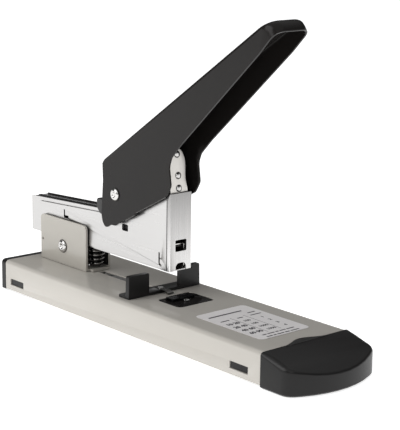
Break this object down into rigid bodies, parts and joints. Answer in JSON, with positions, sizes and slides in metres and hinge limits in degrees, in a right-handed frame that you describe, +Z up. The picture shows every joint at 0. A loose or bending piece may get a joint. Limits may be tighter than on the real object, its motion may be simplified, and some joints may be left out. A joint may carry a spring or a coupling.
{
  "type": "heavy-duty stapler",
  "caption": "Heavy-duty desk stapler with a long flat base, a tilting magazine head, a folded lever handle, a clinching anvil and a sliding paper guide.",
  "frame": {"origin": "centre of the machine's bounding box in X and Y, on the surface that the rubber feet stand on", "axes": "+X runs along the base from the rear cap to the nose, +Y to the user's far side with the nose to the right, +Z up"},
  "size_m": [0.2877, 0.0688, 0.1968],
  "materials": {
    "base_enamel": "glossy warm grey enamel",
    "bracket_enamel": "semi-gloss warm grey enamel",
    "handle_enamel": "satin black enamel",
    "cap_plastic": "satin moulded black",
    "guide_plastic": "satin moulded black",
    "cover_plastic": "matt moulded black",
    "label": "printed film",
    "nickel": "satin nickel plate",
    "bright_steel": "bright zinc plate",
    "spring_steel": "oiled spring steel",
    "foot_rubber": "matt black"
  },
  "bodies": {
    "base": {"base_channel": "base_enamel", "nose_cap": "cap_plastic", "rear_cap": "cap_plastic", "rubber_foot_front_left": "foot_rubber", "rubber_foot_front_right": "foot_rubber", "rubber_foot_rear_left": "foot_rubber", "rubber_foot_rear_right": "foot_rubber", "stand_bracket": "bracket_enamel", "bracket_rivet_front": "bright_steel", "bracket_rivet_rear": "bright_steel", "head_pivot_pin": "bright_steel", "lift_spring": "spring_steel", "anvil_plate": "cap_plastic", "clinch_die": "bright_steel", "anvil_screw": "bright_steel", "anvil_support": "bright_steel", "size_label": "label", "guide_rail": "bright_steel"},
    "guide": {"paper_guide": "guide_plastic", "guide_slide_strip": "bright_steel", "guide_spring_clip": "spring_steel", "guide_rivet": "bright_steel"},
    "head": {"side_plate_left": "nickel", "side_plate_right": "nickel", "column_cover": "nickel", "pivot_bush": "bright_steel", "magazine_channel": "nickel", "magazine_end_plate": "bright_steel", "magazine_lid": "bright_steel", "core_rail": "bright_steel", "staple_strip": "bright_steel", "follower_rod": "bright_steel", "saddle_block": "cover_plastic", "handle_pivot_pin": "bright_steel", "handle_bush": "bright_steel", "handle_washer_left": "bright_steel", "handle_washer_right": "bright_steel", "return_spring": "spring_steel"},
    "cover": {"top_cover": "cover_plastic"},
    "follower": {"staple_follower": "cover_plastic", "follower_spring": "spring_steel"},
    "ram": {"driver_blade": "nickel", "ram_carrier": "bright_steel", "blade_rivet_top": "bright_steel", "blade_rivet_middle": "bright_steel", "blade_rivet_bottom": "bright_steel"},
    "handle": {"handle_shell": "handle_enamel", "drive_bracket": "bright_steel", "drive_pin": "bright_steel", "drive_sleeve": "bright_steel"}
  },
  "joints": [
    {"name": "head_tilt", "type": "hinge", "parent": "base", "child": "head", "pos_m": [-0.104, 0, 0.0335], "axis": [0, 1, 0], "range_deg": [0, 8.2], "stiffness_Nm_per_rad": 6, "springref_deg": -11.46, "deforming": ["lift_spring"]},
    {"name": "handle_press", "type": "hinge", "parent": "head", "child": "handle", "pos_m": [-0.0447, 0, 0.0786], "axis": [0, 1, 0], "range_deg": [0, 28], "stiffness_Nm_per_rad": 1.5, "springref_deg": -22.92, "deforming": ["return_spring"]},
    {"name": "ram_slide", "type": "slide", "parent": "head", "child": "ram", "axis": [0, 0, -1], "range_m": [0, 0.0205]},
    {"name": "guide_slide", "type": "slide", "parent": "base", "child": "guide", "axis": [1, 0, 0], "range_m": [-0.0115, 0]},
    {"name": "follower_slide", "type": "slide", "parent": "head", "child": "follower", "axis": [1, 0, 0], "range_m": [-0.07, 0], "stiffness_N_per_m": 20, "springref_m": 0.1, "deforming": ["follower_spring"]},
    {"name": "cover_slide", "type": "slide", "parent": "head", "child": "cover", "axis": [-0.9985, 0, -0.0547], "range_m": [0, 0.06]}
  ],
  "couplings": [
    {"joint": "ram_slide", "follows": "handle_press", "m_per_rad": 0.0408}
  ]
}
